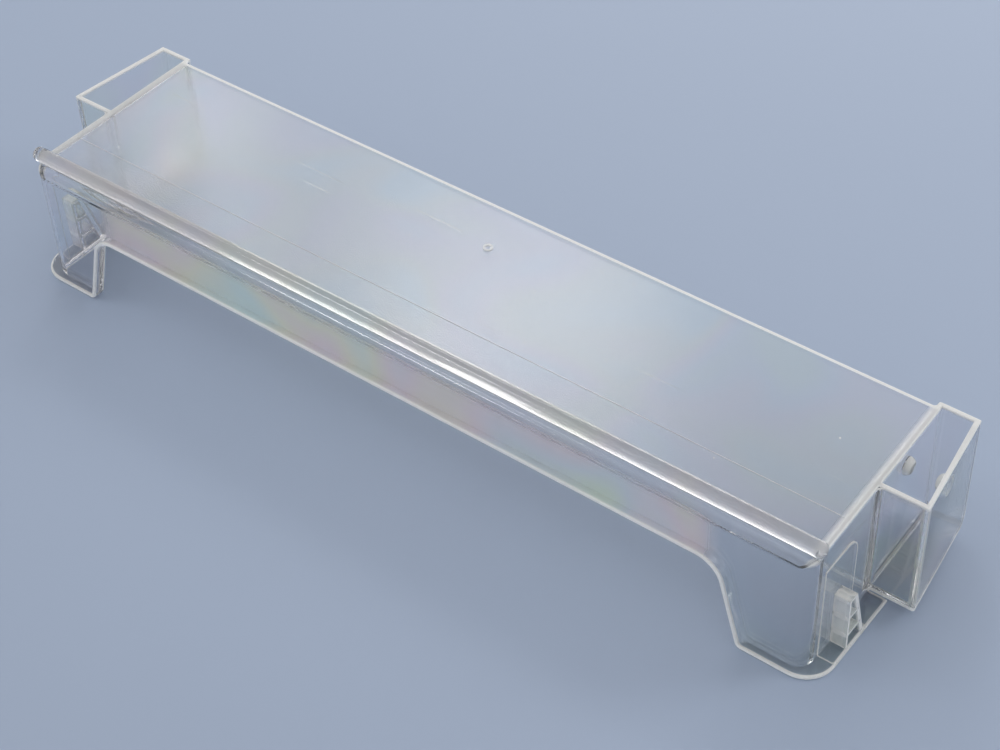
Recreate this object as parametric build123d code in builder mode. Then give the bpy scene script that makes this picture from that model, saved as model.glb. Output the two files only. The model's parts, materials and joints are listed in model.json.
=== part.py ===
"""A clear moulded refrigerator door shelf, modelled as it stands on its rim with the floor uppermost."""
import os

from build123d import *

# Driving sizes, in millimetres
overall_length = 460.0
overall_depth = 106.3
floor_height = 66.0
wall = 2.3
floor_thickness = 2.3
edge_round = 0.7
mouth_round = 0.5
inner_round = 1.5

# Plan of the tray: the end walls stand inside the sleeves and close in slightly towards the rear
sleeve_reach = 21.0
end_taper = 2.0
corner_radius = 7.0
floor_setback = 3.2

# Rim lip
lip_reach = 3.65
lip_thickness = 2.0
end_lip_reach = 8.1
lip_corner_radius = 13.5

# Rounded shoulder and bead along the front edge of the floor
shoulder_radius = 4.6
shoulder_drop = 2.5
bead_radius = 3.5
bead_rise = 2.8
bead_setback = 1.0
bead_overhang = 1.4
bead_end_radius = 2.4

# Opening in the front wall
opening_rim_inset = 29.4
opening_top_inset = 41.0
opening_height = 42.0
opening_corner_radius = 12.0
opening_flare_radius = 3.5
opening_strip = 12.0

# Hanging sleeve at each end
sleeve_depth = 53.9
sleeve_narrowing = 6.7
sleeve_wall = 2.2
sleeve_clearance = 5.2
sleeve_rear_radius = 3.0
sleeve_front_radius = 1.0
sleeve_toe_radius = 5.5
sleeve_root_radius = 3.0

# Domed detents inside the right sleeve
detent_radius = 4.0
detent_height = 3.6
detent_round = 3.0
detent_drop = 9.0
detent_offset = 23.4

# Ladder bracket between each end wall and the rim lip, placed from the outer face of the front wall
ladder_height = 31.6
ladder_front_foot = 19.2
ladder_front_head = 18.6
ladder_rear_foot = 33.2
ladder_rear_head = 24.3
ladder_front_upright = 1.2
ladder_rear_upright = 2.2
ladder_rung = 1.2
ladder_cells = 3

# Raised pad behind each ladder
pad_height = 52.0
pad_front = 10.0
pad_rear = 34.5
pad_rise = 0.4
pad_corner_radius = 8.0

# Moulding marks on the floor: the gate, and a shallow step along the front strip
gate_radius = 2.3
gate_hole_radius = 1.2
gate_height = 0.5
gate_offset = 24.2
step_depth = 0.2
step_offset = 27.0

# Derived positions
quarter_turn = 90
embed = wall / 2
margin = 2 * lip_thickness
front_y = -overall_depth / 2
rear_y = overall_depth / 2
face_y = front_y + lip_reach
inner_face_y = face_y + wall
neck_y = face_y + shoulder_radius
floor_rear_y = rear_y - floor_setback
half_front = overall_length / 2 - sleeve_reach
lip_half = half_front + end_lip_reach
shoulder_z = floor_height - shoulder_drop
shoulder_centre_z = shoulder_z - shoulder_radius
ceiling_z = floor_height - floor_thickness
bead_y = neck_y + bead_setback
bead_z = floor_height + bead_rise
bead_half = half_front + bead_overhang
opening_rim_half = half_front - opening_rim_inset
opening_top_half = half_front - opening_top_inset
opening_strip_half = opening_rim_half + opening_strip
sleeve_front = rear_y - sleeve_depth
sleeve_half = overall_length / 2
lip_rear_y = sleeve_front + sleeve_wall
root_front = sleeve_front - sleeve_root_radius - embed
detent_y = sleeve_front + detent_offset
detent_z = floor_height - detent_drop
end_slope = end_taper / (rear_y - face_y)
sleeve_slope = sleeve_narrowing / sleeve_depth


def near(position):
    """Narrow range about a position, to pick the edges and faces that lie there."""
    return position - embed, position + embed


def end_x(y):
    """Outer face of the right end wall at depth y."""
    return half_front - end_slope * (y - face_y)


def sleeve_x(y):
    """Outer face of the right sleeve at depth y."""
    return sleeve_half - sleeve_slope * (y - sleeve_front)


def ladder_front(z):
    """Front face of the ladder at height z."""
    return face_y + ladder_front_foot + (ladder_front_head - ladder_front_foot) * z / ladder_height


def ladder_rear(z):
    """Rear face of the ladder at height z."""
    return face_y + ladder_rear_foot + (ladder_rear_head - ladder_rear_foot) * z / ladder_height


# Hollow of the tray: its plan limited by the section through the floor and shoulder
with BuildPart() as tray_hollow:
    with BuildSketch(Plane.XY.offset(-margin)):
        with BuildLine():
            Polyline(
                (end_x(inner_face_y) - wall, inner_face_y),
                (end_x(rear_y + margin) - wall, rear_y + margin),
                (wall - end_x(rear_y + margin), rear_y + margin),
                (wall - end_x(inner_face_y), inner_face_y),
                close=True,
            )
        make_face()
        fillet(vertices().group_by(Axis.Y)[0], radius=corner_radius - wall)
    extrude(amount=floor_height + 2 * margin)
    with BuildSketch(Plane.YZ):
        with BuildLine():
            CenterArc((neck_y, shoulder_centre_z), shoulder_radius - wall, quarter_turn, quarter_turn)
            Polyline(
                (neck_y, shoulder_z - wall),
                (neck_y + wall, shoulder_z - wall),
                (neck_y + wall, ceiling_z),
                (floor_rear_y, ceiling_z),
                (floor_rear_y, floor_height + margin),
                (rear_y + margin, floor_height + margin),
                (rear_y + margin, -margin),
                (inner_face_y, -margin),
                (inner_face_y, shoulder_centre_z),
            )
        make_face()
        fillet(vertices().sort_by_distance((floor_rear_y, ceiling_z))[0], radius=edge_round)
    extrude(amount=overall_length / 2, both=True, mode=Mode.INTERSECT)
    ceiling_faces = faces().filter_by(Plane.XY).filter_by_position(Axis.Z, *near(ceiling_z))
    ceiling_edges = ceiling_faces.sort_by(SortBy.AREA)[-1].edges().sort_by(Axis.X)
    fillet([ceiling_edges[0], ceiling_edges[-1]], radius=inner_round)

# Outline of the opening in the front wall, flared out where it meets the rim
opening_plane = Plane.XZ.offset(-front_y)
with BuildSketch(opening_plane) as opening_outline:
    with BuildLine():
        Polyline(
            (-opening_strip_half, -lip_thickness),
            (opening_strip_half, -lip_thickness),
            (opening_strip_half, 0),
            (opening_rim_half, 0),
            (opening_top_half, opening_height),
            (-opening_top_half, opening_height),
            (-opening_rim_half, 0),
            (-opening_strip_half, 0),
            close=True,
        )
    make_face()
    fillet(vertices().group_by(Axis.Y)[-1], radius=opening_corner_radius)
    flare_corners = vertices().group_by(Axis.Y)[1].sort_by(Axis.X)[1:-1]
    fillet(flare_corners, radius=opening_flare_radius)

# Lip that follows the opening, still filled in
with BuildPart() as opening_lip:
    with BuildSketch(opening_plane):
        add(opening_outline.sketch_local)
        offset(amount=lip_thickness, kind=Kind.INTERSECTION)
        with Locations((0, -lip_thickness)):
            Rectangle(overall_length, 2 * lip_thickness, mode=Mode.SUBTRACT)
    extrude(amount=-(lip_reach + embed))

# Lip around the rim, wider along the ends
with BuildPart() as rim_lip:
    with BuildSketch(Plane.XY):
        with BuildLine():
            Polyline(
                (-lip_half, front_y),
                (lip_half, front_y),
                (lip_half, lip_rear_y),
                (-lip_half, lip_rear_y),
                close=True,
            )
        make_face()
        fillet(vertices().group_by(Axis.Y)[0], radius=lip_corner_radius)
    extrude(amount=lip_thickness)

# Bead with rounded ends
with BuildPart() as bead:
    with BuildSketch(Plane.YZ.offset(-bead_half)):
        with Locations((bead_y, bead_z)):
            Circle(bead_radius)
    extrude(amount=2 * bead_half)
    fillet(edges().filter_by(GeomType.CIRCLE), radius=bead_end_radius)

# Hollow of the right sleeve
with BuildPart() as sleeve_hollow:
    with BuildSketch(Plane.XY.offset(sleeve_clearance + sleeve_wall)):
        with BuildLine():
            Polyline(
                (end_x(sleeve_front) - 2 * embed, sleeve_front + sleeve_wall),
                (sleeve_x(sleeve_front) - sleeve_wall, sleeve_front + sleeve_wall),
                (sleeve_x(rear_y) - sleeve_wall, rear_y - sleeve_wall),
                (end_x(rear_y) - 2 * embed, rear_y - sleeve_wall),
                close=True,
            )
        make_face()
    extrude(amount=floor_height)
    hollow_toe = edges().group_by(Axis.Z)[0].sort_by(Axis.Y)[-1]
    fillet(hollow_toe, radius=sleeve_toe_radius - sleeve_wall)

# Detent standing on the wall of a sleeve
with BuildPart() as detent:
    with BuildSketch(Plane.XY):
        Circle(detent_radius)
    extrude(amount=embed + detent_height)
    fillet(edges().group_by(Axis.Z)[-1], radius=detent_round)

# Fittings of the right end, mirrored to the left
with BuildPart() as end_fittings:
    # Sleeve, open at the floor and closed at its toe
    with BuildSketch(Plane.XY.offset(sleeve_clearance)):
        with BuildLine():
            Polyline(
                (end_x(sleeve_front) - embed, sleeve_front),
                (sleeve_x(sleeve_front), sleeve_front),
                (sleeve_x(rear_y), rear_y),
                (end_x(rear_y) - embed, rear_y),
                close=True,
            )
        make_face()
        outer_corners = vertices().sort_by(Axis.X)[-2:].sort_by(Axis.Y)
        fillet(outer_corners[0], radius=sleeve_front_radius)
        fillet(outer_corners[1], radius=sleeve_rear_radius)
    extrude(amount=floor_height - sleeve_clearance)
    with BuildSketch(Plane.YZ):
        with BuildLine():
            Polyline(
                (sleeve_front - margin, sleeve_clearance),
                (rear_y, sleeve_clearance),
                (rear_y, floor_height + margin),
                (sleeve_front - margin, floor_height + margin),
                close=True,
            )
        make_face()
        fillet(vertices().group_by(Axis.Y)[0].sort_by(Axis.X)[-1], radius=sleeve_toe_radius)
    extrude(amount=overall_length, mode=Mode.INTERSECT)
    foot_edges = edges().group_by(Axis.Z)[0]
    fillet(foot_edges.sort_by(Axis.Y)[0], radius=mouth_round)
    add(sleeve_hollow.part, mode=Mode.SUBTRACT)
    mouth_edges = faces().sort_by(Axis.Z)[-1].edges().sort_by(Axis.X)
    fillet(mouth_edges[2:], radius=mouth_round)
    # Rounded root between the end wall and the sleeve's front wall
    root_x = end_x(sleeve_front)
    root_end = root_x + sleeve_root_radius + embed
    root_foot = sleeve_clearance + mouth_round
    with BuildSketch(Plane.XY.offset(root_foot)):
        with BuildLine():
            Polyline(
                (root_x - embed, root_front),
                (end_x(root_front), root_front),
                (root_x, sleeve_front),
                (root_end, sleeve_front),
                (root_end, sleeve_front + embed),
                (root_x - embed, sleeve_front + embed),
                close=True,
            )
        make_face()
        fillet(vertices().sort_by_distance((root_x, sleeve_front))[0], radius=sleeve_root_radius)
    extrude(amount=floor_height - edge_round - root_foot)
    # Raised pad on the end wall
    pad_root = end_x(face_y + pad_rear) - embed
    with BuildSketch(Plane.YZ.offset(pad_root)):
        with BuildLine():
            Polyline(
                (face_y + pad_front, lip_thickness / 2),
                (face_y + pad_rear, lip_thickness / 2),
                (face_y + pad_rear, pad_height),
                (face_y + pad_front, pad_height),
                close=True,
            )
        make_face()
        fillet(vertices().group_by(Axis.Y)[-1].sort_by(Axis.X)[-1], radius=pad_corner_radius)
    extrude(amount=end_x(face_y + pad_front) + pad_rise - pad_root)
    with BuildSketch(Plane.XY.offset(lip_thickness / 2)):
        with BuildLine():
            Polyline(
                (pad_root, face_y + pad_front),
                (lip_half - edge_round, face_y + pad_front),
                (lip_half - edge_round, face_y + pad_rear),
                (pad_root, face_y + pad_rear),
                close=True,
            )
        make_face()
    extrude(amount=lip_thickness / 2 + pad_rise)
    # Ladder bracket: two uprights with rungs between them
    ladder_root = end_x(face_y + ladder_rear_foot) - embed
    pitch = (ladder_height - ladder_rung / 2) / ladder_cells
    with BuildSketch(Plane.YZ.offset(ladder_root)):
        with BuildLine():
            Polyline(
                (ladder_front(lip_thickness / 2), lip_thickness / 2),
                (ladder_rear(lip_thickness / 2), lip_thickness / 2),
                (ladder_rear(ladder_height), ladder_height),
                (ladder_front(ladder_height), ladder_height),
                close=True,
            )
        make_face()
        for cell in range(ladder_cells):
            low = cell * pitch + ladder_rung / 2
            high = (cell + 1) * pitch - ladder_rung / 2
            if cell == 0:
                low = lip_thickness + pad_rise
            with BuildLine():
                Polyline(
                    (ladder_front(low) + ladder_front_upright, low),
                    (ladder_rear(low) - ladder_rear_upright, low),
                    (ladder_rear(high) - ladder_rear_upright, high),
                    (ladder_front(high) + ladder_front_upright, high),
                    close=True,
                )
            make_face(mode=Mode.SUBTRACT)
    extrude(amount=lip_half - edge_round - ladder_root)
    mirror(about=Plane.YZ)
    # Detents facing each other inside the right sleeve only
    inner_root = Plane(
        origin=(end_x(detent_y) - embed, detent_y, detent_z),
        z_dir=(1, end_slope, 0),
    )
    outer_root = Plane(
        origin=(sleeve_x(detent_y) - sleeve_wall + embed, detent_y, detent_z),
        z_dir=(-1, -sleeve_slope, 0),
    )
    for root in (inner_root, outer_root):
        with Locations(root):
            add(detent.part)

# The moulding
with BuildPart() as door_shelf:
    # Solid outline of the tray
    with BuildSketch(Plane.XY):
        with BuildLine():
            Polyline(
                (end_x(face_y), face_y),
                (end_x(rear_y), rear_y),
                (-end_x(rear_y), rear_y),
                (-end_x(face_y), face_y),
                close=True,
            )
        make_face()
        fillet(vertices().group_by(Axis.Y)[0], radius=corner_radius)
    extrude(amount=floor_height)
    end_edges = edges().group_by(Axis.Z)[-1].sort_by(Axis.X)
    fillet([end_edges[0], end_edges[-1]], radius=edge_round)
    # Rounded shoulder below the bead
    with BuildSketch(Plane.YZ):
        with BuildLine():
            CenterArc((neck_y, shoulder_centre_z), shoulder_radius, quarter_turn, quarter_turn)
            Polyline(
                (neck_y, shoulder_z),
                (neck_y, floor_height + margin),
                (front_y - margin, floor_height + margin),
                (front_y - margin, shoulder_centre_z),
                (face_y, shoulder_centre_z),
            )
        make_face()
    extrude(amount=overall_length / 2, both=True, mode=Mode.SUBTRACT)
    add(rim_lip.part)
    add(opening_lip.part)
    add(tray_hollow.part, mode=Mode.SUBTRACT)
    with BuildSketch(opening_plane.offset(margin)):
        add(opening_outline.sketch_local)
    extrude(amount=-(2 * margin + lip_reach + wall), mode=Mode.SUBTRACT)
    # Rounded edges of the lip, of the floor's rear and of the end walls' rear
    front_face = faces().filter_by(Plane.XZ).sort_by(Axis.Y)[0]
    fillet(front_face.edges(), radius=edge_round)
    floor_rear_edges = edges().filter_by(Axis.X).filter_by_position(Axis.Y, *near(floor_rear_y))
    fillet(floor_rear_edges.sort_by(Axis.Z)[-1], radius=edge_round)
    end_rear_edges = edges().filter_by(Axis.Z).filter_by_position(Axis.Y, *near(rear_y))
    fillet(end_rear_edges.sort_by(Axis.X)[1:-1], radius=edge_round)
    # Shallow step along the front strip of the floor
    step_y = face_y + step_offset
    with BuildSketch(Plane.XY.offset(floor_height - step_depth)):
        with BuildLine():
            Polyline(
                (end_x(neck_y) - wall, neck_y),
                (end_x(step_y) - wall, step_y),
                (wall - end_x(step_y), step_y),
                (wall - end_x(neck_y), neck_y),
                close=True,
            )
        make_face()
    extrude(amount=margin, mode=Mode.SUBTRACT)
    add(bead.part)
    add(end_fittings.part)
    # Gate mark
    with BuildSketch(Plane.XY.offset(floor_height - embed)):
        with Locations((0, gate_offset)):
            Circle(gate_radius)
            Circle(gate_hole_radius, mode=Mode.SUBTRACT)
    extrude(amount=embed + gate_height)

door_shelf.part.label = "door_shelf"
os.makedirs("parts", exist_ok=True)
export_step(door_shelf.part, "parts/door_shelf.step")
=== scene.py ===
"""Looks of a clear moulded refrigerator door shelf: its plastic, and the floor, light and camera."""
import json
import math
from functools import partial, reduce
from types import SimpleNamespace

import bpy
from mathutils import Matrix, Vector


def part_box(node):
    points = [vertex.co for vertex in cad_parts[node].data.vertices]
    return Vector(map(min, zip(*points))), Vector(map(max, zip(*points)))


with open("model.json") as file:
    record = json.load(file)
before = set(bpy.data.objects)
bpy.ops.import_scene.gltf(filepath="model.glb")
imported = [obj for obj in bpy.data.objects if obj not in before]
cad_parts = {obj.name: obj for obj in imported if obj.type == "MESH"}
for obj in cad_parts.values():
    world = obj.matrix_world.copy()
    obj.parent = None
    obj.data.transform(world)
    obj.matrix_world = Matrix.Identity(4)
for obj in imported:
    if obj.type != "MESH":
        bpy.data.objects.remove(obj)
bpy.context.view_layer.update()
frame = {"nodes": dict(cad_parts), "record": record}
shelf = frame["nodes"]["door_shelf"]

# Places on the shelf that the frame gives, in metres
mounts = {mount["name"]: mount for mount in frame["record"]["mounts"]}
floor_top = mounts["sleeve_right"]["pos_m"][2]
front_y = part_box("door_shelf")[0].y

# From the shelf's own sizes, in metres: the end walls stand end_half out at Y = 0 and close in rearward
end_half = 0.2080
end_slope = 0.0195
rear_edge = 0.04995
detent_y = 0.02265
detent_z = floor_top - 0.009

# Zones of the plastic, in metres, each as the two ends of a soft border
panel_bottom = (floor_top - 0.0008, floor_top - 0.0002)
panel_top = (floor_top + 0.0008, floor_top + 0.0012)
bead_rear = (-0.0400, -0.0396)
# Rear strip of the floor, painted white as edge glow
rear_strip = (rear_edge - 0.0021, rear_edge - 0.0017)
# Toe of each sleeve, painted white as glow
sleeve_side = (end_half, end_half + 0.0005)
sleeve_front = (-0.0020, -0.0010)
toe_top = (0.0070, 0.0078)
# Detents, painted white as a ring highlight
detent_inner_end = (0.2079, 0.2082)
detent_outer_end = (0.2244, 0.2247)
# Front band: a painted pale, pearly reflection, cut off partway along
band_bottom = (0.036, 0.044)
band_top = (0.058, 0.062)
band_rear = (front_y + 0.008, front_y + 0.012)
band_end = (0.156, 0.170)

# Borders of the painted glow strips, measured from the outer face of an end wall, and of the painted ring
# highlights, from the axis of the detents
end_strip = (-0.0046, -0.0026)
detent_crown = (0.0022, 0.0028)
detent_foot = (0.0040, 0.0043)

# Faces that count as looking straight up or straight out, by that part of their normal
square_on = (0.90, 0.98)

# Edges, where white glow is painted: how far inward another face counts as near, and how open the plastic
# is at edges and in thin plates
edge_reach = 0.0020
edge_rays = 12
edge_openness = (0.66, 0.86)
plate_openness = (0.34, 0.46)

# How strongly the painted white glow shows on the end strips and sleeve toes, the painted highlight on the
# detent crowns, and the white of the scratches, which is wear, where an edge has 1
end_strip_glow = 0.65
toe_glow = 0.85
crown_highlight = 0.5
scratch_white = 0.45

# Colours of the plastic: its plain tint; the white of the painted glow at edges, the painted highlights on
# the detents and the wear marks; and the stress colours by their share of the noise, painted as an
# iridescent sheen that the plastic shows only in reflected light
plain_tint = (0.97, 0.98, 0.98, 1.0)
glow_and_wear_white = (0.98, 0.98, 0.96, 1.0)
stress_sheen_tints = (
    (0.30, (0.86, 1.00, 0.99, 1.0)),
    (0.42, (1.00, 0.99, 0.85, 1.0)),
    (0.52, (1.00, 0.90, 0.94, 1.0)),
    (0.62, (0.88, 0.94, 1.00, 1.0)),
    (0.72, (0.90, 1.00, 0.88, 1.0)),
)
stress_scale = 14.0
stress_detail = 1.0
stress_warp = 0.6
stress_sheen_amount = 0.35
band_sheen_stress = 0.55

# Finish of the plastic: refraction, roughness, and the share of light that each zone lets through; the low
# shares make the band, thin plates, detents and edges white as painted reflection, highlights and glow, and
# the marks white as wear
refraction = 1.57
cloud_scale = 9.0
cloud_range = (0.3, 0.7)
gloss = (0.02, 0.04)
satin = (0.23, 0.27)
band_roughness = 0.45
edge_roughness = 0.5
clear_shares = {"panel": 0.94, "band_sheen": 0.66, "thin_plate_glow": 0.5, "dome_highlight": 0.40, "edge": 0.2, "mark": 0.2}

# Fine grain: its depth in metres, and its strength on the walls and on the floor panel
grain_scale = 2500.0
grain_detail = 2.0
grain_depth = 0.00002
wall_grain = 0.03
panel_grain = 0.25

# Scratches: long thin cells of noise at a slant, of which only the highest show
scratch_slant = (0.0, 0.0, 0.35)
scratch_cells = (12.0, 700.0, 1.0)
scratch_detail = 1.0
scratch_range = (0.73, 0.79)

# Specks: few cells have one, and its size is a share of the cell
speck_scale = 60.0
speck_chance = (0.88, 0.92)
speck_size = 0.030
speck_border = (0.0, 0.004)

# Camera: where it looks from, in degrees, metres and millimetres of lens
camera_azimuth = 39.156
camera_elevation = 44.094
camera_roll = -2.804
camera_distance = 0.9055
camera_target = Vector((0.0288, -0.0072, 0.03))
camera_lens = 75.4
camera_sensor = 36.0
camera_near = 0.01

# Studio: the floor, and the sky's brightness from the horizon up to overhead
floor_colour = (0.40, 0.48, 0.63, 1.0)
floor_roughness = 0.55
floor_gap = 0.0002
floor_half = 4.0
sky_levels = ((0.0, 1.30), (0.16, 1.20), (0.34, 0.45), (0.75, 0.50), (1.0, 0.85))
sky_strength = 1.0

# Light paths long enough for many layers of clear plastic
clear_bounces = 40
gloss_bounces = 24


class Nodes:
    """Adds nodes to one node tree, with their inputs given by name as values or as sockets to link."""

    def __init__(self, tree):
        self.tree = tree
        tree.nodes.clear()

    def feed(self, socket, value):
        """Links value to socket where it is a socket itself, and sets it there where it is not."""
        if isinstance(value, bpy.types.NodeSocket):
            self.tree.links.new(value, socket)
        else:
            socket.default_value = value

    def add(self, kind, inputs=None, **settings):
        node = self.tree.nodes.new(kind)
        for name, value in settings.items():
            setattr(node, name, value)
        for name, value in (inputs or {}).items():
            self.feed(node.inputs[name], value)
        return node

    def math(self, operation, first, second=0.0):
        return self.add("ShaderNodeMath", {0: first, 1: second}, operation=operation).outputs[0]

    def product(self, *values):
        """All values multiplied: a zone that lies in each of several."""
        return reduce(partial(self.math, "MULTIPLY"), values)

    def largest(self, *values):
        """The largest of the values: a zone that lies in any of several."""
        return reduce(partial(self.math, "MAXIMUM"), values)

    def span(self, value, border, first, last):
        """Maps value across border smoothly to first..last, held at both ends."""
        start, end = border
        inputs = {"Value": value, "From Min": start, "From Max": end, "To Min": first, "To Max": last}
        return self.add("ShaderNodeMapRange", inputs, interpolation_type="SMOOTHSTEP").outputs["Result"]

    def rise(self, value, border, top=1.0):
        return self.span(value, border, 0.0, top)

    def fall(self, value, border, top=1.0):
        return self.span(value, border, top, 0.0)

    def mix(self, factor, first, second, data_type="FLOAT"):
        """Blends from first to second, as numbers or, with the type RGBA, as colours."""
        node = self.add("ShaderNodeMix", data_type=data_type)
        sockets = [socket for socket in node.inputs if socket.enabled]
        for socket, value in zip(sockets, (factor, first, second)):
            self.feed(socket, value)
        return next(socket for socket in node.outputs if socket.enabled)

    def noise(self, place, scale, detail, distortion=0.0):
        inputs = {"Vector": place, "Scale": scale, "Detail": detail, "Distortion": distortion}
        return self.add("ShaderNodeTexNoise", inputs).outputs["Fac"]

    def ramp(self, factor, stops):
        """Colours by factor, through stops that are each a position and a colour."""
        node = self.add("ShaderNodeValToRGB", {"Fac": factor})
        elements = node.color_ramp.elements
        for element, (position, colour) in zip(elements, (stops[0], stops[-1])):
            element.position = position
            element.color = colour
        for position, colour in stops[1:-1]:
            elements.new(position).color = colour
        return node.outputs["Color"]


def surface_point(nodes):
    """Where a point of the shelf lies, in metres, and which way its face looks."""
    place = nodes.add("ShaderNodeTexCoord").outputs["Object"]
    axes = nodes.add("ShaderNodeSeparateXYZ", {"Vector": place}).outputs
    normal = nodes.add("ShaderNodeNewGeometry").outputs["Normal"]
    facing = nodes.add("ShaderNodeSeparateXYZ", {"Vector": normal}).outputs
    outward = nodes.math("ABSOLUTE", axes["X"])
    lean = nodes.math("MULTIPLY", axes["Y"], end_slope)
    return SimpleNamespace(
        place=place,
        normal=normal,
        x=axes["X"],
        y=axes["Y"],
        z=axes["Z"],
        outward=outward,
        past_end=nodes.math("SUBTRACT", nodes.math("ADD", outward, lean), end_half),
        facing_up=nodes.rise(nodes.math("ABSOLUTE", facing["Z"]), square_on),
        facing_end=nodes.rise(nodes.math("ABSOLUTE", facing["X"]), square_on),
    )


def floor_panel(nodes, point):
    """Upper face of the floor."""
    return nodes.product(nodes.rise(point.z, panel_bottom), nodes.fall(point.z, panel_top), point.facing_up)


def floor_rounding_glow(nodes, point):
    """Rounded edge of the floor, behind the bead, painted white as edge glow."""
    tilted = nodes.math("SUBTRACT", nodes.fall(point.z, panel_top), point.facing_up)
    return nodes.product(nodes.rise(point.z, panel_bottom), tilted, nodes.rise(point.y, bead_rear))


def floor_glow_strips(nodes, point, panel):
    """Painted edge glow: white strips of the floor over the end walls and along its rear edge."""
    over_ends = nodes.rise(point.past_end, end_strip, end_strip_glow)
    return nodes.product(nodes.largest(over_ends, nodes.rise(point.y, rear_strip)), panel)


def sleeve_toe_glow(nodes, point):
    """Painted glow: side faces at the toe of each sleeve, made white."""
    in_sleeve = nodes.product(nodes.rise(point.outward, sleeve_side), nodes.rise(point.y, sleeve_front))
    sideways = nodes.math("SUBTRACT", 1.0, point.facing_up)
    return nodes.product(nodes.fall(point.z, toe_top, toe_glow), sideways, in_sleeve)


def detent_ring_highlights(nodes, point):
    """Painted ring highlight on the two detents in the right sleeve: white flanks, less white on their
    crowns.
    """
    across = nodes.math("SUBTRACT", point.y, detent_y)
    upward = nodes.math("SUBTRACT", point.z, detent_z)
    squares = nodes.math("ADD", nodes.product(across, across), nodes.product(upward, upward))
    radius = nodes.math("SQRT", squares)
    flank = nodes.span(radius, detent_crown, crown_highlight, 1.0)
    between = nodes.product(nodes.rise(point.x, detent_inner_end), nodes.fall(point.x, detent_outer_end))
    return nodes.product(between, flank, nodes.fall(radius, detent_foot))


def front_band_sheen(nodes, point):
    """Painted reflection: a pale, pearly band along the middle of the front wall, ending partway along."""
    height = nodes.product(nodes.rise(point.z, band_bottom), nodes.fall(point.z, band_top))
    return nodes.product(height, nodes.fall(point.y, band_rear), nodes.fall(point.outward, band_end))


def wear_marks(nodes, point, panel):
    """Hairline scratches and pale specks on the floor panel."""
    slant = {"Vector": point.place, "Rotation": scratch_slant, "Scale": scratch_cells}
    slanted = nodes.add("ShaderNodeMapping", slant).outputs["Vector"]
    streak = nodes.noise(slanted, scale=1.0, detail=scratch_detail)
    hairline = nodes.rise(streak, scratch_range, scratch_white)
    cells = {"Vector": point.place, "Scale": speck_scale}
    cell = nodes.add("ShaderNodeTexVoronoi", cells, voronoi_dimensions="2D").outputs
    chance = nodes.add("ShaderNodeSeparateColor", {"Color": cell["Color"]}).outputs["Red"]
    size = nodes.rise(chance, speck_chance, speck_size)
    speck = nodes.rise(nodes.math("SUBTRACT", size, cell["Distance"]), speck_border)
    return nodes.product(nodes.largest(hairline, speck), panel)


def plastic_zones(nodes, point):
    """Zones where the plastic is not plainly clear, by name, each from 0 outside to 1 inside: painted white
    glow at edges and thin plates, painted ring highlights on the detents and a painted reflection in the
    front band, besides the panel's haze and the wear marks.
    """
    panel = floor_panel(nodes, point)

    # Near an edge some of the ways inward soon meet another face, and in the thin ladder plates most do;
    # both get painted white glow, as do the floor's rounding and strips and the sleeve toes
    rays = {"samples": edge_rays, "inside": True, "only_local": True}
    openness = nodes.add("ShaderNodeAmbientOcclusion", {"Distance": edge_reach}, **rays).outputs["AO"]
    narrow = nodes.fall(openness, edge_openness)
    thick = nodes.rise(openness, plate_openness)
    thin_plate_glow = nodes.product(narrow, nodes.math("SUBTRACT", 1.0, thick))
    edge = nodes.largest(
        nodes.product(narrow, thick),
        nodes.product(thin_plate_glow, point.facing_end),
        floor_rounding_glow(nodes, point),
        floor_glow_strips(nodes, point, panel),
        sleeve_toe_glow(nodes, point),
    )
    return {
        "panel": panel,
        "band_sheen": front_band_sheen(nodes, point),
        "thin_plate_glow": thin_plate_glow,
        "dome_highlight": detent_ring_highlights(nodes, point),
        "edge": edge,
        "mark": wear_marks(nodes, point, panel),
    }


def plastic_colour(nodes, point, zones):
    """Faint stress colours painted as an iridescent sheen, stronger in the front band's painted reflection,
    and white: painted glow at edges, painted highlights on the detents, and wear at the marks.
    """
    stress_sheen = nodes.ramp(nodes.noise(point.place, stress_scale, stress_detail, stress_warp), stress_sheen_tints)
    amount = nodes.math("ADD", nodes.math("MULTIPLY", zones["band_sheen"], band_sheen_stress), stress_sheen_amount)
    colour = nodes.mix(amount, plain_tint, stress_sheen, "RGBA")
    glow_and_wear = nodes.largest(zones["edge"], zones["mark"], zones["dome_highlight"])
    return nodes.mix(glow_and_wear, colour, glow_and_wear_white, "RGBA")


def plastic_roughness(nodes, point, zones):
    """Uneven satin on the floor panel and gloss elsewhere, rougher in the front band and at edges."""
    cloud = nodes.noise(point.place, cloud_scale, detail=0.0)
    roughness = nodes.mix(
        zones["panel"],
        nodes.span(cloud, cloud_range, *gloss),
        nodes.span(cloud, cloud_range, *satin),
    )
    roughness = nodes.mix(zones["band_sheen"], roughness, band_roughness)
    return nodes.mix(zones["edge"], roughness, edge_roughness)


def plastic_grain(nodes, point, zones):
    """Fine grain as a bumped normal."""
    height = nodes.noise(point.place, grain_scale, grain_detail)
    strength = nodes.mix(zones["panel"], wall_grain, panel_grain)
    bump = {"Height": height, "Distance": grain_depth, "Strength": strength, "Normal": point.normal}
    return nodes.add("ShaderNodeBump", bump).outputs["Normal"]


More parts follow.
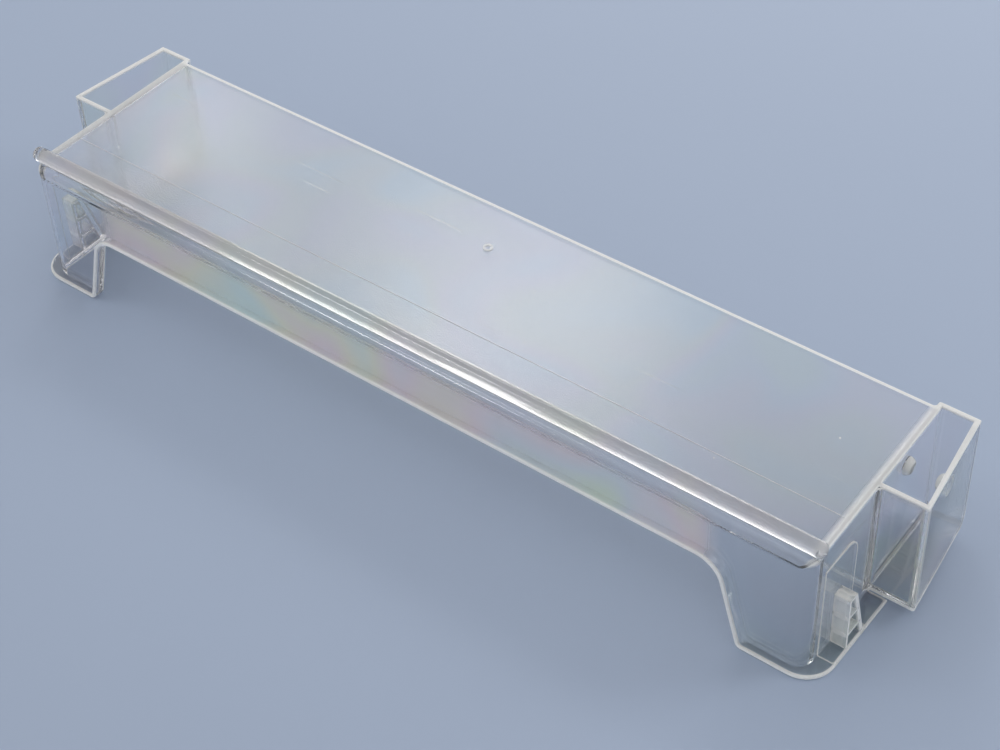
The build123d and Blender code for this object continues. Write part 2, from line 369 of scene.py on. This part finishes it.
def clear_plastic():
    """Clear gloss plastic: a satin floor panel, painted white glow at edges, painted highlights and a
    painted reflection in milky places, and faint stress colours painted as sheen.
    """
    material = bpy.data.materials.new("clear_plastic")
    material.use_nodes = True
    nodes = Nodes(material.node_tree)
    point = surface_point(nodes)
    zones = plastic_zones(nodes, point)
    clear = 1.0
    for zone, share in clear_shares.items():
        clear = nodes.mix(zones[zone], clear, share)
    shader = nodes.add(
        "ShaderNodeBsdfPrincipled",
        {
            "Base Color": plastic_colour(nodes, point, zones),
            "Roughness": plastic_roughness(nodes, point, zones),
            "IOR": refraction,
            "Transmission Weight": clear,
            "Normal": plastic_grain(nodes, point, zones),
        },
    )
    nodes.add("ShaderNodeOutputMaterial", {"Surface": shader.outputs["BSDF"]})
    return material


def studio_floor():
    """Plain pale floor, just below the rim."""
    mesh = bpy.data.meshes.new("studio_floor")
    signs = ((-1, -1), (1, -1), (1, 1), (-1, 1))
    corners = [(x * floor_half, y * floor_half, -floor_gap) for x, y in signs]
    mesh.from_pydata(corners, [], [(0, 1, 2, 3)])
    plane = bpy.data.objects.new("studio_floor", mesh)
    bpy.context.scene.collection.objects.link(plane)
    material = bpy.data.materials.new("pale_floor")
    material.use_nodes = True
    nodes = Nodes(material.node_tree)
    paint = {"Base Color": floor_colour, "Roughness": floor_roughness}
    shader = nodes.add("ShaderNodeBsdfPrincipled", paint)
    nodes.add("ShaderNodeOutputMaterial", {"Surface": shader.outputs["BSDF"]})
    mesh.materials.append(material)


def studio_sky():
    """Soft surrounding light, brightest at the horizon."""
    world = bpy.data.worlds.new("studio_sky")
    world.use_nodes = True
    nodes = Nodes(world.node_tree)
    direction = nodes.add("ShaderNodeTexCoord").outputs["Generated"]
    height = nodes.add("ShaderNodeSeparateXYZ", {"Vector": direction}).outputs["Z"]
    greys = [(position, (level, level, level, 1.0)) for position, level in sky_levels]
    sky = {"Color": nodes.ramp(height, greys), "Strength": sky_strength}
    background = nodes.add("ShaderNodeBackground", sky)
    nodes.add("ShaderNodeOutputWorld", {"Surface": background.outputs["Background"]})
    bpy.context.scene.world = world


def softbox(name, place, aim, width, height, power):
    """Rectangular soft lamp at place, facing aim, in metres and watts."""
    lamp = bpy.data.lights.new(name, "AREA")
    lamp.shape = "RECTANGLE"
    lamp.size = width
    lamp.size_y = height
    lamp.energy = power
    light = bpy.data.objects.new(name, lamp)
    light.location = place
    light.rotation_euler = (Vector(aim) - Vector(place)).to_track_quat("-Z", "Y").to_euler()
    bpy.context.scene.collection.objects.link(light)


def photo_camera():
    """Camera at the photograph's viewing angle."""
    data = bpy.data.cameras.new("camera")
    data.lens = camera_lens
    data.sensor_width = camera_sensor
    data.clip_start = camera_near
    camera = bpy.data.objects.new("camera", data)
    turn = (
        Matrix.Rotation(math.radians(camera_azimuth), 4, "Z")
        @ Matrix.Rotation(math.radians(90 - camera_elevation), 4, "X")
        @ Matrix.Rotation(math.radians(camera_roll), 4, "Z")
    )
    backward = turn.to_3x3() @ Vector((0, 0, 1))
    camera.matrix_world = Matrix.Translation(camera_target + backward * camera_distance) @ turn
    bpy.context.scene.collection.objects.link(camera)
    bpy.context.scene.camera = camera


plastic = clear_plastic()
shelf.data.materials.clear()
shelf.data.materials.append(plastic)
studio_floor()
studio_sky()
softbox("back_softbox", place=(-0.75, 0.95, 1.25), aim=(0, 0, 0.06), width=0.34, height=0.24, power=1.3)
softbox("right_softbox", place=(0.95, 0.90, 0.90), aim=(0.1, 0, 0.05), width=0.5, height=0.5, power=3.0)
softbox("low_strip", place=(-0.3, 1.5, 0.4), aim=(0, 0, 0.05), width=1.6, height=0.3, power=5.5)
softbox("left_softbox", place=(-1.05, 0.78, 1.0), aim=(-0.15, 0, 0.06), width=0.14, height=0.4, power=0.4)
softbox("front_strip", place=(-0.75, -0.55, 1.25), aim=(0, -0.04, 0.066), width=0.5, height=0.10, power=1.5)
photo_camera()
bpy.context.scene.view_settings.view_transform = "Standard"
bpy.context.scene.cycles.max_bounces = clear_bounces
bpy.context.scene.cycles.transmission_bounces = clear_bounces
bpy.context.scene.cycles.glossy_bounces = gloss_bounces
